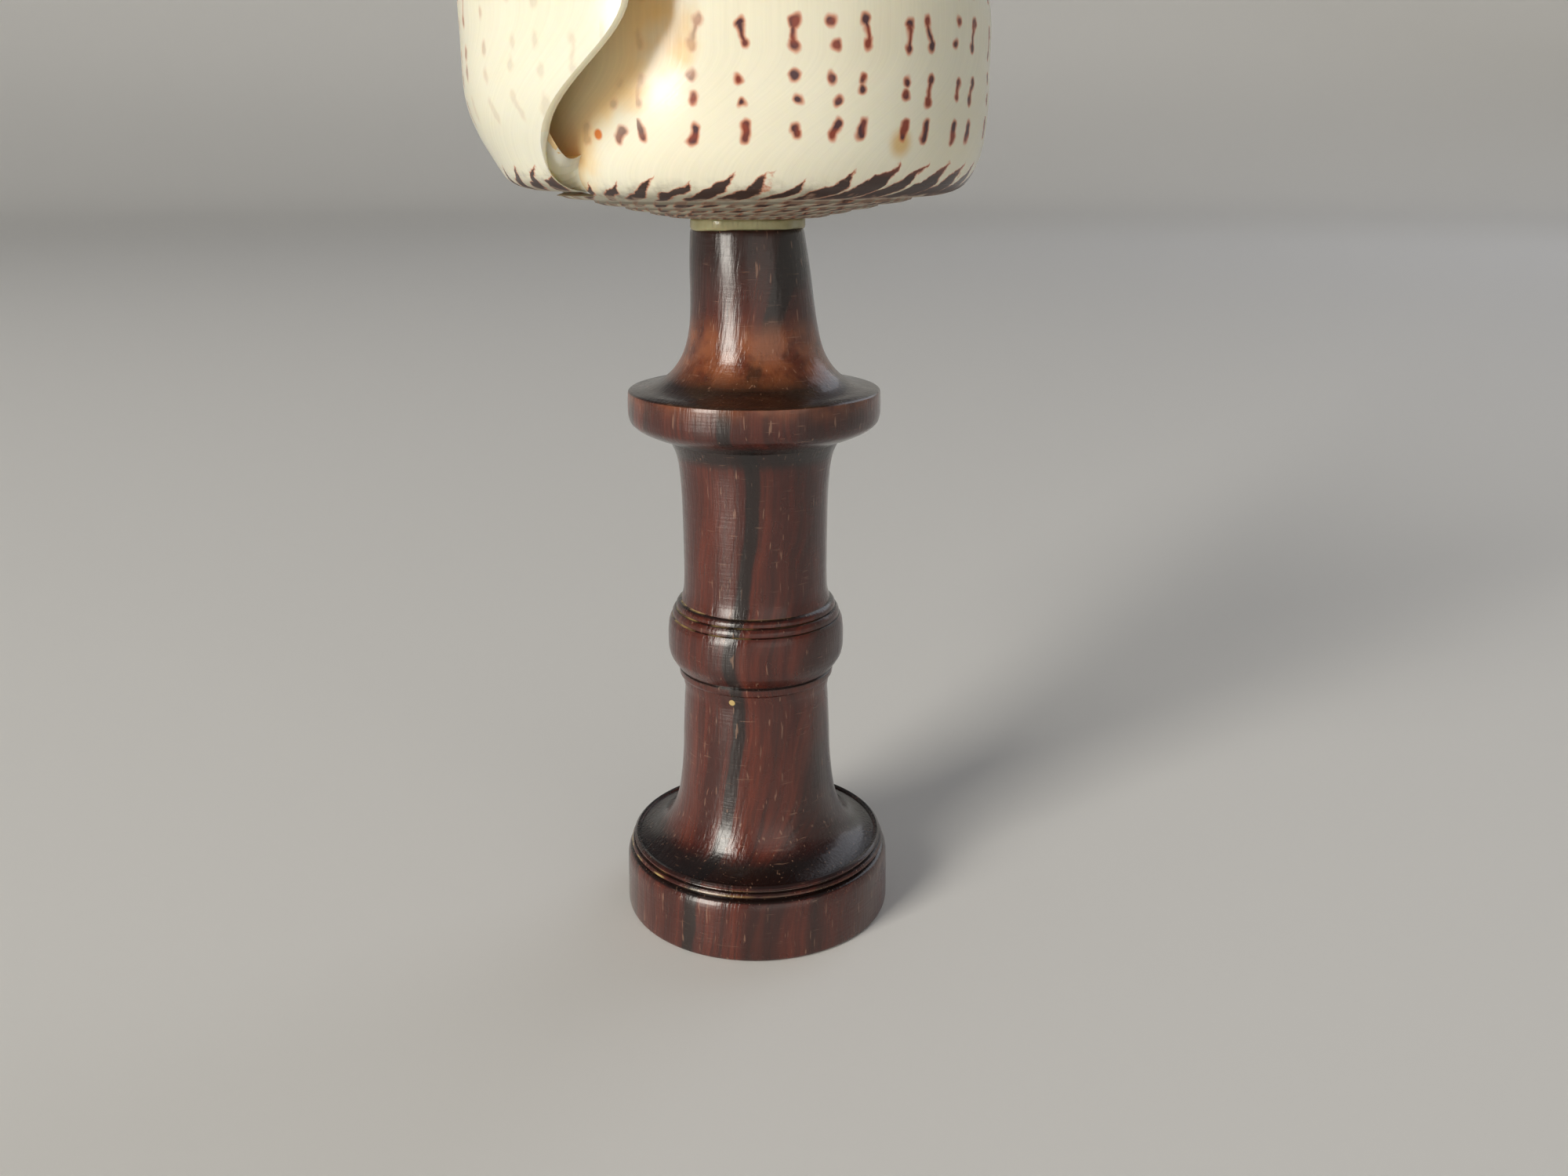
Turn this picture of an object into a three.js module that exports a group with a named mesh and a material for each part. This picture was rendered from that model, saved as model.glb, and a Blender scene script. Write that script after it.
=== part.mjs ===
// Lettered cone: a large cone shell, spire down, glued on a turned hardwood pedestal.
// Millimetres, +Z up. The origin is the middle of the pedestal's flat foot.
// The shell coils about a line along +Z just left of the pedestal's axis, and its front is
// the side towards -Y.
import * as THREE from 'three';
import { mergeVertices } from 'three/addons/utils/BufferGeometryUtils.js';

// Driving dimensions of the pedestal
const footRadius = 18.05;
const footWallHeight = 7.6;
const footRimHeight = 10.3;
const beadRadius = 11.55;
const beadHeight = 38.2;
const shaftRadius = 9.3;
const collarRadius = 15.8;
const collarHeight = 69;
const neckRadius = 6.85;
const pedestalHeight = 90.5;

// Driving dimensions of the shell
const spireLevel = 90;
const whorlGrowth = 1.25;
const shellLength = 100;
const greatestRadius = 33.45;
const axisOffset = 0.9;
const spireTurns = 4.5;
const lipDirection = THREE.MathUtils.degToRad(252);
const shoulderLag = THREE.MathUtils.degToRad(25.5);
const tipLag = THREE.MathUtils.degToRad(25);
const chamberDepth = 5 / 6;
const wallThickness = 2;
const tipWallThickness = 1.2;
const notchDepth = 2.6;
const shoulderDroop = 1.8;

// Joint between shell and pedestal: a thin bed of glue, with a clear gap on both faces
const faceGap = 0.3;
const glueThickness = 0.65;
const glueRadius = 7.2;

// How finely the round surfaces are divided
const pedestalSides = 40;
const glueSides = 20;
const stepsPerTurn = 42;
const fullTurn = 2 * Math.PI;

const glueLevel = pedestalHeight + faceGap;
const restLevel = glueLevel + glueThickness + faceGap;

function smooth(low, high, value) {
  return THREE.MathUtils.smoothstep(value, low, high);
}

// Turns an outline in (radius, height) round the pedestal's axis
function turned(outline, sides) {
  const geometry = new THREE.LatheGeometry(outline, sides);
  geometry.rotateX(Math.PI / 2);
  return geometry;
}

function addCurve(outline, points) {
  outline.splineThru(points.map(([radius, height]) => new THREE.Vector2(radius, height)));
}

// The foot: upright wall, bevel, two fine rings and a dished top that sweeps up into the shaft
function foot(outline) {
  outline.moveTo(0, 0);
  outline.lineTo(footRadius - 0.5, 0);
  outline.lineTo(footRadius, 0.5);
  outline.lineTo(footRadius - 0.15, footWallHeight);
  outline.lineTo(footRadius - 0.5, footWallHeight + 0.7);
  outline.lineTo(footRadius - 1.1, footWallHeight + 0.95);
  outline.lineTo(footRadius - 0.7, footWallHeight + 1.35);
  outline.lineTo(footRadius - 0.8, footWallHeight + 1.8);
  outline.lineTo(footRadius - 1.3, footWallHeight + 2);
  outline.lineTo(footRadius - 1.05, footWallHeight + 2.3);
  outline.lineTo(footRadius - 1.4, footRimHeight);
  outline.lineTo(footRadius - 2.1, footRimHeight - 0.2);
  addCurve(outline, [
    [13.2, footRimHeight + 0.9],
    [11.1, footRimHeight + 3.7],
    [10.2, footRimHeight + 8.2],
    [9.85, footRimHeight + 14],
    [9.5, footRimHeight + 21.2],
  ]);
}

// The bead: a rounded belly with a fine ring below it and two above it
function bead(outline) {
  outline.lineTo(9.95, beadHeight - 5.3);
  outline.lineTo(10.4, beadHeight - 4.8);
  outline.lineTo(10.85, beadHeight - 3.7);
  outline.lineTo(10.8, beadHeight - 3.5);
  addCurve(outline, [
    [11.3, beadHeight - 2.6],
    [beadRadius, beadHeight],
    [11.4, beadHeight + 2.2],
    [11.1, beadHeight + 3.4],
  ]);
  outline.lineTo(10.8, beadHeight + 3.55);
  outline.lineTo(10.95, beadHeight + 3.8);
  outline.lineTo(10.6, beadHeight + 4.5);
  outline.lineTo(10.25, beadHeight + 4.65);
  outline.lineTo(10.4, beadHeight + 4.9);
  outline.lineTo(10.1, beadHeight + 5.35);
  outline.lineTo(9.7, beadHeight + 5.5);
}

// The waisted shaft, then the collar's rounded rim and its coved top and underside
function collar(outline) {
  addCurve(outline, [
    [shaftRadius + 0.1, beadHeight + 7],
    [shaftRadius, 52],
    [shaftRadius + 0.1, 58.5],
    [shaftRadius + 0.5, collarHeight - 6.4],
    [shaftRadius + 1.3, collarHeight - 4.3],
  ]);
  outline.lineTo(collarRadius - 2.7, collarHeight - 3.1);
  outline.lineTo(collarRadius - 0.9, collarHeight - 2.1);
  addCurve(outline, [
    [collarRadius - 0.1, collarHeight - 0.9],
    [collarRadius, collarHeight + 0.2],
    [collarRadius - 0.2, collarHeight + 1.5],
    [collarRadius - 0.9, collarHeight + 2.5],
  ]);
}

// The neck: a cove off the collar that tapers to the seat under the shell
function neck(outline) {
  addCurve(outline, [
    [12.4, collarHeight + 3],
    [9.9, collarHeight + 4.5],
    [8.5, collarHeight + 7.1],
    [7.7, collarHeight + 11.5],
    [neckRadius + 0.45, pedestalHeight - 5],
    [neckRadius, pedestalHeight - 0.4],
  ]);
  outline.lineTo(neckRadius - 0.35, pedestalHeight);
  outline.lineTo(0, pedestalHeight);
}

function pedestalGeometry() {
  const outline = new THREE.Path();
  foot(outline);
  bead(outline);
  collar(outline);
  neck(outline);
  return turned(outline.getPoints(1), pedestalSides);
}

// A squeezed-out bed of glue, a little wider on some sides than on others
function glueGeometry() {
  const outline = [
    [0, 0],
    [glueRadius - 0.5, 0],
    [glueRadius, 0.2],
    [glueRadius, glueThickness - 0.2],
    [glueRadius - 0.4, glueThickness],
    [0, glueThickness],
  ].map(([radius, height]) => new THREE.Vector2(radius, height));
  const geometry = turned(outline, glueSides);
  const position = geometry.getAttribute('position');
  for (let i = 0; i < position.count; i += 1) {
    const direction = Math.atan2(position.getY(i), position.getX(i));
    const spread = 1 + 0.035 * Math.sin(3 * direction + 0.6) + 0.02 * Math.sin(7 * direction);
    position.setX(i, position.getX(i) * spread);
    position.setY(i, position.getY(i) * spread);
  }
  return geometry;
}

// The whorl's outline at the lip, as (radius, height above the spire's level), from the
// suture over the shoulder to the narrow front end
const sutureColumn = 4;
const chamberColumn = 8;
const suture = new THREE.Vector2(28.5, 5.5);
const whorlOutline = [
  suture.clone().divideScalar(whorlGrowth),
  new THREE.Vector2(23.2, 4.85),
  new THREE.Vector2(25.2, 4.9),
  new THREE.Vector2(27, 5.1),
  suture,
  new THREE.Vector2(29.8, 6.2),
  new THREE.Vector2(30.7, 7.3),
  new THREE.Vector2(31.4, 8.6),
  new THREE.Vector2(32.05, 10.3),
  new THREE.Vector2(32.5, 12.3),
  ...new THREE.SplineCurve([
    new THREE.Vector2(32.95, 15.5),
    new THREE.Vector2(greatestRadius, 21.5),
    new THREE.Vector2(33.1, 27.5),
    new THREE.Vector2(32.3, 33),
    new THREE.Vector2(29.8, 43),
    new THREE.Vector2(25.4, 55.5),
    new THREE.Vector2(20.1, 70),
    new THREE.Vector2(15.1, 84),
    new THREE.Vector2(11.5, 94),
    new THREE.Vector2(10, 98),
    new THREE.Vector2(8.9, shellLength),
  ]).getPoints(11),
];
const lastColumn = whorlOutline.length - 1;

// Width of the aperture with its lip: it follows the coil at the shoulder and narrows
// steadily towards the front end
const apertureAtMiddle = 7.6;
const apertureAtTip = 5.4;
const widestAperture = 8;
const pillarLeast = 1.5;

function pillarRadius({ x: radius, y: height }) {
  const coiled = radius * (1 - 1 / whorlGrowth);
  const drawn = THREE.MathUtils.mapLinear(height, 55, shellLength, apertureAtMiddle, apertureAtTip);
  return radius - THREE.MathUtils.lerp(coiled, Math.min(drawn, widestAperture), smooth(25, 50, height));
}
const pillar = whorlOutline.map(pillarRadius);

// The lip runs straight up the shell, swings back at the shoulder and again at the front end
function lag(height) {
  const atShoulder = shoulderLag * (1 - smooth(7, 23, height));
  const tipShare = THREE.MathUtils.clamp((height - 84) / (shellLength - 84), 0, 1);
  return -atShoulder - tipLag * tipShare ** 2;
}

// A point of the shell's surface. Step 0 is the wall that the lip faces, and each
// stepsPerTurn steps make one whorl, up to the lip itself. Inset moves it into the wall.
function shellPoint(step, column, inset = 0) {
  const { x: radius, y: height } = whorlOutline[column];
  const turns = step / stepsPerTurn;
  const scale = whorlGrowth ** (turns - 1);
  const share = (whorlGrowth ** turns - 1) / (whorlGrowth - 1);
  const coiled = radius - (radius - pillar[column]) * (1 - share);
  const roundPillar = (coiled + Math.sqrt(coiled ** 2 + 4 * pillarLeast ** 2)) / 2;
  const droop = shoulderDroop * smooth(0.6, 1, turns) * Math.exp(-(((height - 7.5) / 5) ** 2));
  const slender = smooth(20, 60, height);
  const across = THREE.MathUtils.lerp(coiled, roundPillar, slender) - droop - inset;
  const backSide = Math.exp(-(((turns - 0.62) / 0.16) ** 2));
  const notch = notchDepth * backSide * smooth(86, shellLength, height);
  const upScale = THREE.MathUtils.lerp(scale, 1, smooth(24, 92, height));
  const up = spireLevel + height * upScale - notch;
  const wrapped = ((step % stepsPerTurn) + stepsPerTurn) % stepsPerTurn;
  const direction = lipDirection + lag(height) + (fullTurn * wrapped) / stepsPerTurn;
  return new THREE.Vector3(
    across * Math.cos(direction) - axisOffset,
    across * Math.sin(direction),
    Math.max(up, restLevel),
  );
}

// The suture of each whorl lies on the whorl before it
function outerPoint(step, column) {
  return column === 0 ? shellPoint(step - stepsPerTurn, sutureColumn) : shellPoint(step, column);
}

function innerPoint(step, column) {
  const { y: height } = whorlOutline[column];
  const thickness = THREE.MathUtils.lerp(wallThickness, tipWallThickness, height / shellLength);
  return shellPoint(step, column, thickness);
}

function range(first, last) {
  return Array.from({ length: last - first + 1 }, (_, i) => first + i);
}

// Collects triangles from grids and fans of points, and welds them into one closed surface
class Surface {
  constructor() {
    this.values = [];
  }

  triangle(a, b, c, flipped) {
    const corners = flipped ? [a, c, b] : [a, b, c];
    corners.forEach((corner) => this.values.push(corner.x, corner.y, corner.z));
  }

  grid(rows, flipped = false) {
    for (let i = 0; i < rows.length - 1; i += 1) {
      for (let k = 0; k < rows[i].length - 1; k += 1) {
        this.triangle(rows[i][k], rows[i + 1][k], rows[i + 1][k + 1], flipped);
        this.triangle(rows[i][k], rows[i + 1][k + 1], rows[i][k + 1], flipped);
      }
    }
  }

  fan(middle, border, flipped = false) {
    border.forEach((point, i) => {
      this.triangle(middle, point, border[(i + 1) % border.length], flipped);
    });
  }

  geometry() {
    const loose = new THREE.BufferGeometry();
    loose.setAttribute('position', new THREE.Float32BufferAttribute(this.values, 3));
    const welded = mergeVertices(loose, 1e-4);
    welded.computeVertexNormals();
    return welded;
  }
}

// The middle of a spiral end face, set off the axis so that it sees the whole border
function endMiddle(step, level, offset) {
  const direction = lipDirection + (fullTurn * step) / stepsPerTurn - Math.PI / 3;
  return new THREE.Vector3(
    offset * Math.cos(direction) - axisOffset,
    offset * Math.sin(direction),
    level,
  );
}

function shellGeometry() {
  const surface = new Surface();
  const firstStep = -spireTurns * stepsPerTurn;
  const chamberStep = Math.round((1 - chamberDepth) * stepsPerTurn);
  const innerStep = chamberStep - stepsPerTurn;
  const rampColumns = range(0, sutureColumn);
  const sideColumns = range(sutureColumn, lastColumn);
  const chamberColumns = range(chamberColumn, lastColumn);

  // The spire's whorls, the body whorl's side, and the pillar's wall inside the chamber
  surface.grid(range(firstStep, stepsPerTurn).map((i) => rampColumns.map((k) => outerPoint(i, k))));
  surface.grid(range(0, stepsPerTurn).map((i) => sideColumns.map((k) => outerPoint(i, k))));
  surface.grid(range(innerStep, 0).map((i) => chamberColumns.map((k) => outerPoint(i, k))));

  // Inside of the body whorl, the chamber's roof under the shoulder and its far end
  surface.grid(
    range(chamberStep, stepsPerTurn).map((i) => chamberColumns.map((k) => innerPoint(i, k))),
    true,
  );
  const across = (step, column) => {
    const inner = outerPoint(step - stepsPerTurn, column);
    const outer = innerPoint(step, column);
    return [inner, inner.clone().lerp(outer, 0.5), outer];
  };
  surface.grid(range(chamberStep, stepsPerTurn).map((i) => across(i, chamberColumn)), true);
  surface.grid(chamberColumns.map((k) => across(chamberStep, k)));

  // The lip's edge, and its thick end over the shoulder down to the suture
  surface.grid(
    chamberColumns.map((k) => [innerPoint(stepsPerTurn, k), outerPoint(stepsPerTurn, k)]),
  );
  const [roofInner, roofMiddle, roofOuter] = across(stepsPerTurn, chamberColumn);
  const lower = range(0, chamberColumn).map((k) => outerPoint(stepsPerTurn, k));
  const upper = range(sutureColumn + 1, chamberColumn - 1).map((k) => outerPoint(0, k));
  const border = [...lower, roofOuter, roofMiddle, roofInner, ...upper.reverse()];
  const lipMiddle = new THREE.Vector3().addVectors(lower[3], roofMiddle).multiplyScalar(0.5);
  surface.fan(lipMiddle, border, true);

  // End faces: the wall's edge round the front opening, the pillar's tip, and the ground apex
  surface.grid(
    range(chamberStep, stepsPerTurn).map((i) => [
      innerPoint(i, lastColumn),
      outerPoint(i, lastColumn),
    ]),
    true,
  );
  const tip = [
    ...range(innerStep, chamberStep).map((i) => outerPoint(i, lastColumn)),
    ...across(chamberStep, lastColumn).reverse().slice(0, 2),
  ];
  surface.fan(endMiddle(chamberStep, tip[0].z - 0.5, 0.5), tip);
  const apex = [
    ...range(firstStep, firstStep + stepsPerTurn).map((i) => outerPoint(i, 0)),
    ...range(1, sutureColumn - 1).reverse().map((k) => outerPoint(firstStep, k)),
  ];
  surface.fan(endMiddle(firstStep, restLevel, 1.2), apex, true);
  return surface.geometry();
}

function piece(name, geometry, colour, roughness) {
  const material = new THREE.MeshStandardMaterial({ color: colour, roughness, metalness: 0 });
  const mesh = new THREE.Mesh(geometry, material);
  mesh.name = name;
  return mesh;
}

const letteredCone = new THREE.Group();
const pedestal = piece('pedestal', pedestalGeometry(), 0x4a2018, 0.4);
const glue = piece('glue', glueGeometry(), 0xc9c48a, 0.35);
glue.position.z = glueLevel;
const shell = piece('shell', shellGeometry(), 0xede6cf, 0.25);
letteredCone.add(pedestal, glue, shell);

export default letteredCone;
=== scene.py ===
"""Lettered cone shell, spire down, glued on a turned hardwood pedestal.

Everything is in metres, +Z up, with the origin in the middle of the pedestal's foot.
Outlines are written in millimetres as (radius, height) and scaled once by MM.
"""

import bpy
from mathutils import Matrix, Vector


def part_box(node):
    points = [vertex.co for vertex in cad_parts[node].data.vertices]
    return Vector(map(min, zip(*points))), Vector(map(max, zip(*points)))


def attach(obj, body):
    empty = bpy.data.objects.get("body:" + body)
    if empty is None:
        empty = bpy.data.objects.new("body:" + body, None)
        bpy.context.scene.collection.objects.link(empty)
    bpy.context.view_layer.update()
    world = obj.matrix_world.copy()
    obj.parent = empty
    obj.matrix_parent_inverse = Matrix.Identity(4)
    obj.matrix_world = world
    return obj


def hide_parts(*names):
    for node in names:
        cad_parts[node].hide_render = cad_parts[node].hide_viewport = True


bl_info = {
    "name": "Lettered cone on a turned pedestal",
    "version": (1, 0, 0),
    "blender": (4, 5, 0),
    "location": "View3D > Sidebar > Lettered cone",
    "description": "Builds the shell, its glue bed, the pedestal and a plain stage",
    "category": "Add Mesh",
}

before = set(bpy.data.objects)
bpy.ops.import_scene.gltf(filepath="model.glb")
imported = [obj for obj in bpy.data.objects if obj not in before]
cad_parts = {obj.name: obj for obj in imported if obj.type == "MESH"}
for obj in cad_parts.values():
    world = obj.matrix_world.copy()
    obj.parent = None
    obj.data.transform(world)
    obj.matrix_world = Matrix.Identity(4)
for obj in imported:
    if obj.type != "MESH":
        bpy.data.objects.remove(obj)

import math

import bpy
import numpy as np
from mathutils import Vector

# A length in millimetres is written as n * MM, and a pattern's scale as n repeats / MM
MM = 0.001
FULL_TURN = 2 * math.pi
SOFT_STEP = {"interpolation_type": "SMOOTHSTEP"}
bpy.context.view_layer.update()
PEDESTAL_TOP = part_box("pedestal")[1][2] / MM
SHELL_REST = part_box("shell")[0][2] / MM

# The photograph's frame and the camera worked out from the pedestal's rings
PHOTO_WIDTH = 2000
FOCAL_PIXELS = 1665.0


def linear(hex_colour):
    """An sRGB hex colour as the linear RGBA that Blender's sockets take."""
    values = [int(hex_colour[i:i + 2], 16) / 255 for i in (1, 3, 5)]
    spread = [v / 12.92 if v <= 0.04045 else ((v + 0.055) / 1.055) ** 2.4 for v in values]
    return (*spread, 1.0)


def colour_property(name, description, hex_colour):
    return bpy.props.FloatVectorProperty(
        name=name, description=description, subtype="COLOR", size=4, min=0, max=1,
        default=linear(hex_colour),
    )


def length_property(name, description, millimetres):
    return bpy.props.FloatProperty(
        name=name, description=description, default=millimetres * MM,
        min=0, subtype="DISTANCE", unit="LENGTH",
    )


class PedestalSettings(bpy.types.PropertyGroup):
    foot_radius: length_property("Foot radius", "Radius of the foot's upright wall", 18.05)
    bead_radius: length_property("Bead radius", "Radius of the bead's belly", 11.55)
    collar_radius: length_property("Collar radius", "Radius of the collar's rim", 15.8)
    neck_lean: length_property("Neck lean", "How far the neck's top sits to the left", 0.8)
    heartwood: colour_property("Heartwood", "Red-brown of the waxed wood", "#43140A")
    pale_wood: colour_property("Pale wood", "Lighter red of worn grain", "#642817")
    # This near-black also darkens upward faces and the neck's top, and paints shade on the right side,
    # under the collar and in two grooves
    dark_vein_and_shade: colour_property("Dark vein", "Near-black veins and grime", "#130B09")
    worn_wood: colour_property("Worn wood", "Orange-brown of the rubbed neck", "#8A5030")
    residue: colour_property("Residue", "Old polish left in the grooves", "#B9A067")


class GlueSettings(bpy.types.PropertyGroup):
    radius: length_property("Glue radius", "Radius of the squeezed-out glue", 6.75)
    thickness: length_property("Glue thickness", "Height of the glue that shows", 1.5)
    tint: colour_property("Glue tint", "Yellowish tint of the set glue", "#C4BD92")


class ShellSettings(bpy.types.PropertyGroup):
    length: length_property("Shell length", "From the spire's level to the front end", 100)
    greatest_radius: length_property("Greatest radius", "Radius of the lip where widest", 33.15)
    axis_offset: length_property("Axis offset", "How far left of the pedestal it coils", 0.9)
    lip_edge: length_property("Lip edge", "Thickness of the wall at the lip", 1.1)
    wall: length_property("Wall", "Thickness of the wall deep in the aperture", 2.0)
    growth: bpy.props.FloatProperty(
        name="Whorl growth", description="How much each whorl outgrows the last",
        default=1.25, min=1.05, max=3,
    )
    lip_direction: bpy.props.FloatProperty(
        name="Lip direction", description="Direction of the lip seen from above",
        default=math.radians(252), subtype="ANGLE", unit="ROTATION",
    )
    porcelain: colour_property("Porcelain", "Creamy white of the shell", "#F0EEDF")
    shade: colour_property("Cream", "Deeper cream of older growth", "#E5DEC3")
    # Set paler than the shell's own tan: partly painted light, lifting the shade beneath the lip
    aperture: colour_property("Aperture", "Tan glaze beside the aperture", "#F2C67C")
    mark: colour_property("Mark", "Dark heart of a mark", "#40202C")
    ember: colour_property("Ember", "Red-brown of a mark's brighter end", "#8F3A22")
    fringe: colour_property("Fringe", "Orange-red edge of a mark", "#C86A3C")
    spire: colour_property("Spire", "Grey-white of the worn spire", "#C3BEA8")
    streak: colour_property("Streak", "Brown-black streaks of the shoulder and spire", "#2A1A17")
    tip: colour_property("Tip", "Violet-brown stain of the front end", "#5A3F49")


class StageSettings(bpy.types.PropertyGroup):
    floor_radius: length_property("Floor radius", "Out to where the sweep begins", 2200)
    floor: colour_property("Floor", "Pale grey of the floor", "#EDECE9")


def smooth(low, high, value):
    """0 below low, 1 above high and an even rise between."""
    share = np.clip((np.asarray(value, float) - low) / (high - low), 0, 1)
    return share * share * (3 - 2 * share)


def mix(first, second, share):
    return first + (second - first) * share


def curve_through(points, count):
    """Evenly spaced points on a smooth curve through the given ones."""
    knots = np.array(points, float)
    chord = np.concatenate([[0], np.cumsum(np.linalg.norm(np.diff(knots, axis=0), axis=1))])
    slopes = np.gradient(knots, chord, axis=0)
    where = np.linspace(0, chord[-1], count)
    span = np.clip(np.searchsorted(chord, where, side="right") - 1, 0, len(knots) - 2)
    width = (chord[span + 1] - chord[span])[:, None]
    share = ((where - chord[span]) / width[:, 0])[:, None]
    start = (1 + 2 * share) * (1 - share) ** 2 * knots[span]
    end = share ** 2 * (3 - 2 * share) * knots[span + 1]
    lean = share * (1 - share) ** 2 * width * slopes[span]
    fall = share ** 2 * (share - 1) * width * slopes[span + 1]
    return start + end + lean + fall


def select_only(piece):
    bpy.ops.object.select_all(action="DESELECT")
    piece.select_set(True)
    bpy.context.view_layer.objects.active = piece


def finish_piece(piece, name, node, material, angle):
    """Names a piece, shades it smooth, gives it its material and puts it on the frame."""
    select_only(piece)
    piece.name = name
    piece.data.name = name
    bpy.ops.object.transform_apply(location=True, rotation=True, scale=True)
    bpy.ops.object.shade_smooth_by_angle(angle=math.radians(angle))
    piece.data.materials.append(material)
    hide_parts(node)
    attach(piece, "root")


def close_up(piece, gap=0.004 * MM):
    """Welds the piece's seams, closes its end faces and turns its faces outwards."""
    select_only(piece)
    bpy.ops.object.mode_set(mode="EDIT")
    bpy.ops.mesh.select_all(action="SELECT")
    bpy.ops.mesh.remove_doubles(threshold=gap)
    bpy.ops.mesh.fill_holes(sides=0)
    bpy.ops.mesh.select_all(action="SELECT")
    bpy.ops.mesh.normals_make_consistent(inside=False)
    bpy.ops.object.mode_set(mode="OBJECT")


def new_material(name):
    material = bpy.data.materials.new(name)
    material.use_nodes = True
    tree = material.node_tree
    tree.nodes.clear()
    surface = add_node(tree, "BsdfPrincipled")
    add_node(tree, "OutputMaterial", {"Surface": surface})
    return material, tree, surface


def fill_inputs(tree, node, inputs):
    """Links each input that is given a node or a socket, and sets the others."""
    for key, value in inputs.items():
        if isinstance(value, bpy.types.Node):
            value = next(output for output in value.outputs if output.enabled)
        if isinstance(value, bpy.types.NodeSocket):
            tree.links.new(value, node.inputs[key])
        else:
            node.inputs[key].default_value = value


def add_node(tree, kind, inputs=None, **settings):
    """Adds one node, with its settings, its constants and its links."""
    made = tree.nodes.new("ShaderNode" + kind)
    for name, value in settings.items():
        setattr(made, name, value)
    fill_inputs(tree, made, inputs or {})
    return made


# Pedestal

def pedestal_outline(sizes):
    """The turned outline from the middle of the foot to the middle of the top."""
    foot = sizes.foot_radius / MM
    bead = sizes.bead_radius / MM
    collar = sizes.collar_radius / MM
    top = PEDESTAL_TOP
    runs = [
        [(0, 0), (foot - 4, 0), (foot - 0.6, 0)],
        curve_through([(foot - 0.4, 0.03), (foot - 0.1, 0.25), (foot, 0.7)], 6),
        curve_through([(foot - 0.03, 2.4), (foot - 0.07, 4.4), (foot - 0.15, 7.2)], 9),
        curve_through([(foot - 0.25, 7.75), (foot - 0.55, 8.3), (foot - 1.0, 8.5)], 7),
        [(foot - 1.25, 8.55), (foot - 1.2, 8.72)],
        curve_through([(foot - 1.0, 8.78), (foot - 0.7, 9.05), (foot - 0.95, 9.4)], 7),
        [(foot - 1.35, 9.5), (foot - 1.4, 9.62)],
        curve_through([(foot - 1.25, 9.68), (foot - 1.05, 9.95), (foot - 1.4, 10.3)], 7),
        [(foot - 1.75, 10.25), (foot - 1.85, 10.05)],
        curve_through(
            [(foot - 2.1, 10.1), (14.6, 10.45), (12.9, 11.5), (11.6, 13.3), (10.75, 15.7),
             (10.3, 18.4), (9.95, 22), (9.8, 26), (9.6, 30), (9.5, 31.6)], 46),
        curve_through([(9.6, 32.2), (9.72, 32.9), (9.76, 33.3)], 5),
        curve_through([(9.95, 33.4), (10.12, 33.6), (10.2, 34.0), (10.22, 34.45)], 7),
        [(10.06, 34.6)],
        curve_through([(10.25, 34.72), (10.75, 35.4), (11.2, 36.15)], 6),
        curve_through([(11.35, 36.5), (bead - 0.05, 37.2), (bead, 38.4), (11.5, 40.0),
                       (11.25, 41.3), (11.05, 41.65)], 20),
        [(10.85, 41.72)],
        curve_through([(10.95, 41.85), (10.9, 42.25), (10.6, 42.7)], 6),
        [(10.3, 42.8)],
        curve_through([(10.42, 42.95), (10.35, 43.3), (10.05, 43.65)], 6),
        [(9.72, 43.75)],
        curve_through([(9.66, 44.1), (9.42, 45.1), (9.31, 46.6), (9.28, 50), (9.3, 54),
                       (9.36, 57.5), (9.5, 60), (9.72, 62), (10.05, 63.4), (10.5, 64.4)], 44),
        curve_through([(10.7, 64.85), (11.9, 65.4), (13.2, 65.85), (14.4, 66.4)], 10),
        curve_through([(14.95, 66.75), (collar - 0.3, 67.3), (collar - 0.05, 68.1),
                       (collar, 69.2), (collar - 0.06, 70.8)], 16),
        curve_through([(collar - 0.12, 71.05), (collar - 0.3, 71.2), (15.2, 71.28)], 5),
        curve_through([(14.8, 71.4), (13.4, 71.6), (12.0, 72.05), (10.7, 72.9), (9.7, 74.0),
                       (8.95, 75.2), (8.4, 76.6), (7.95, 78.6), (7.65, 81), (7.5, 83),
                       (7.35, 85.5), (7.12, 88), (6.9, top - 0.45)], 44),
        curve_through([(6.82, top - 0.2), (6.65, top - 0.03), (6.4, top)], 5),
        [(3.2, top), (0, top)],
    ]
    return np.concatenate([np.array(run, float) for run in runs])


def trace(outline):
    """Draws an outline point by point, as a line of edges over the XZ plane."""
    bpy.ops.object.select_all(action="DESELECT")
    bpy.ops.mesh.primitive_plane_add(size=MM, location=(0, 0, 0))
    bpy.ops.object.mode_set(mode="EDIT")
    bpy.ops.mesh.select_all(action="SELECT")
    bpy.ops.mesh.merge(type="CENTER")
    for step in np.diff(outline, axis=0) * MM:
        bpy.ops.mesh.extrude_region_move(
            TRANSFORM_OT_translate={"value": (step[0], 0, step[1])})
    bpy.ops.object.mode_set(mode="OBJECT")
    return bpy.context.object


def turned(outline, sides):
    """Spins an outline all the way round the Z axis."""
    piece = trace(outline)
    bpy.ops.object.mode_set(mode="EDIT")
    bpy.ops.mesh.select_all(action="SELECT")
    bpy.ops.mesh.spin(steps=sides, angle=FULL_TURN, center=(0, 0, 0), axis=(0, 0, 1))
    bpy.ops.object.mode_set(mode="OBJECT")
    return piece


def strongest(tree, masks):
    """The strongest of several masks at each point."""
    most = masks[0]
    for mask in masks[1:]:
        most = add_node(tree, "Math", {0: most, 1: mask}, operation="MAXIMUM")
    return most


def overlap(tree, masks):
    """Where several masks lie at once: their product at each point."""
    left = masks[0]
    for mask in masks[1:]:
        left = add_node(tree, "Math", {0: left, 1: mask}, operation="MULTIPLY")
    return left


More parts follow.
